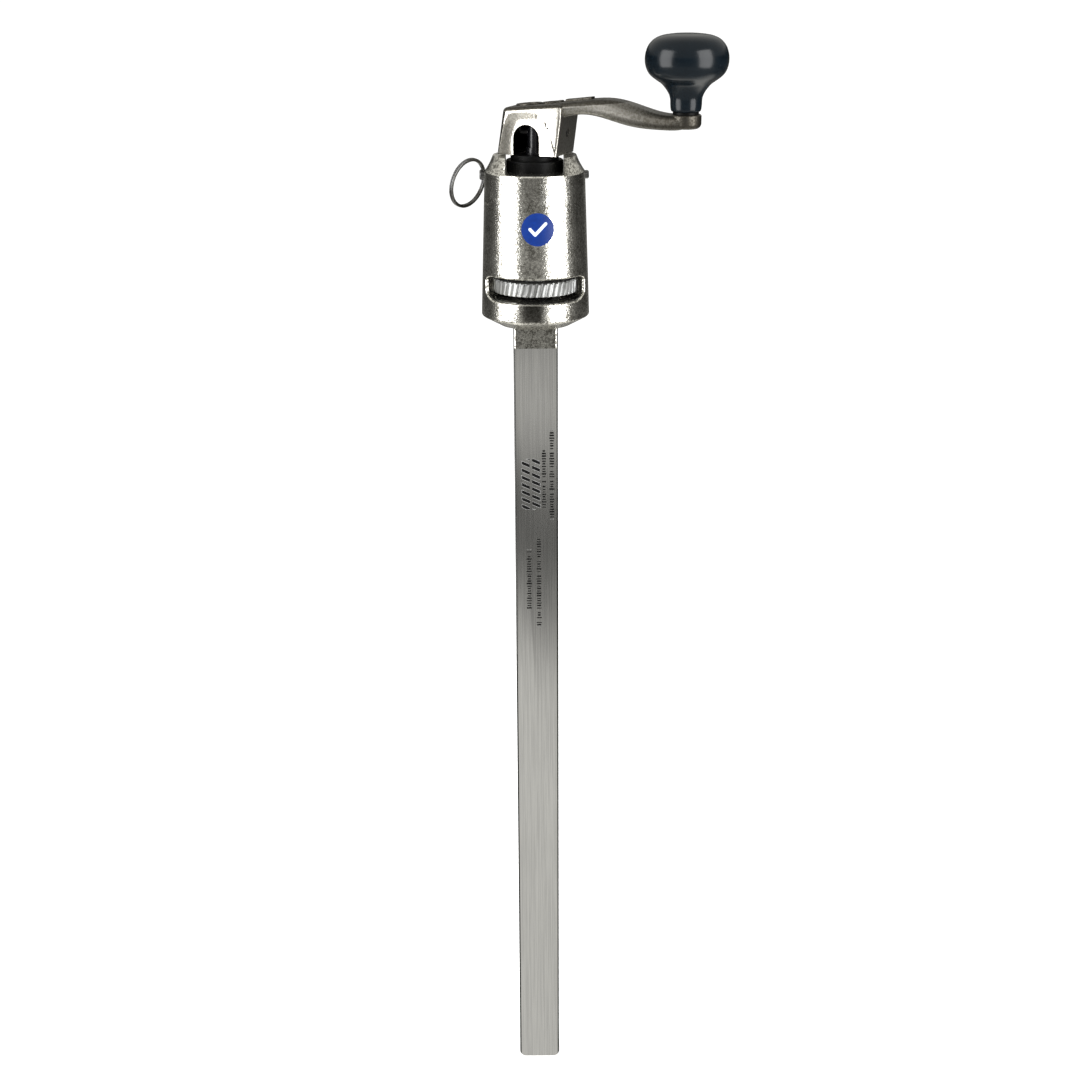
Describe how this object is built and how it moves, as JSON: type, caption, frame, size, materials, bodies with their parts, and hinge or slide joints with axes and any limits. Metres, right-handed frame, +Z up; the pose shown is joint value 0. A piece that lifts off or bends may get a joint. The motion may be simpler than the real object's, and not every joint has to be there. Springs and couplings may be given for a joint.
{
  "type": "manual can opener",
  "caption": "Bench-mounted can opener: flat slide bar, bell-shaped head with a toothed drive wheel and knife, crank arm with a turning ball knob, release pin with a pull ring.",
  "frame": {"origin": "middle of the slide bar's lower end", "axes": "+Z up along the bar and the crank's shaft; the toothed slot and the label face -Y; the can is held on the +Y side"},
  "size_m": [0.1506, 0.0895, 0.6481],
  "materials": {
    "nickel_casting": "satin nickel plate over a fine-grained casting",
    "brushed_bar": "stainless bar, brushed lengthwise",
    "ground_steel": "ground steel",
    "black_bushing": "black satin bearing plastic",
    "blue_label": null,
    "knife_steel": "ground stainless",
    "zinc_fasteners": "bright zinc plate",
    "black_shaft": "black oxide steel",
    "bright_gear": "bright toothed steel",
    "nickel_arm": "nickel-plated casting, satin",
    "black_knob": "gloss black phenolic",
    "bush_brass": "turned brass",
    "ring_steel": "stainless wire and turned steel"
  },
  "bodies": {
    "head": {"head_casting": "nickel_casting", "slide_bar": "brushed_bar", "neck_dowels": "ground_steel", "upper_bushing": "black_bushing", "lower_bushing": "black_bushing", "thrust_washer": "black_bushing", "round_label": "blue_label", "knife": "knife_steel", "knife_lock_washers": "zinc_fasteners", "knife_screws": "zinc_fasteners"},
    "crank": {"drive_shaft": "black_shaft", "shaft_clip": "black_shaft", "drive_gear": "bright_gear", "crank_arm": "nickel_arm", "crank_roll_pin": "ground_steel", "knob_spindle": "ground_steel", "knob_washer": "black_bushing"},
    "knob": {"knob": "black_knob", "knob_bush": "bush_brass"},
    "release_pin": {"release_pin": "ring_steel", "detent_ball": "ring_steel", "detent_spring": "ring_steel"},
    "pull_ring": {"pull_ring": "ring_steel"}
  },
  "joints": [
    {"name": "crank_spin", "type": "hinge", "parent": "head", "child": "crank", "pos_m": [0, 0, 0.53], "axis": [0, 0, 1], "continuous": true},
    {"name": "knob_spin", "type": "hinge", "parent": "crank", "child": "knob", "pos_m": [0.08076, -0.03263, 0.63], "axis": [0, 0, 1], "continuous": true},
    {"name": "release_pin_pull", "type": "slide", "parent": "head", "child": "release_pin", "axis": [-1, 0, 0], "range_m": [0, 0.058]},
    {"name": "pull_ring_swing", "type": "hinge", "parent": "release_pin", "child": "pull_ring", "pos_m": [-0.0286, 0.013, 0.5688], "axis": [0, 0.3142, -0.9494], "range_deg": [-25, 120]}
  ]
}
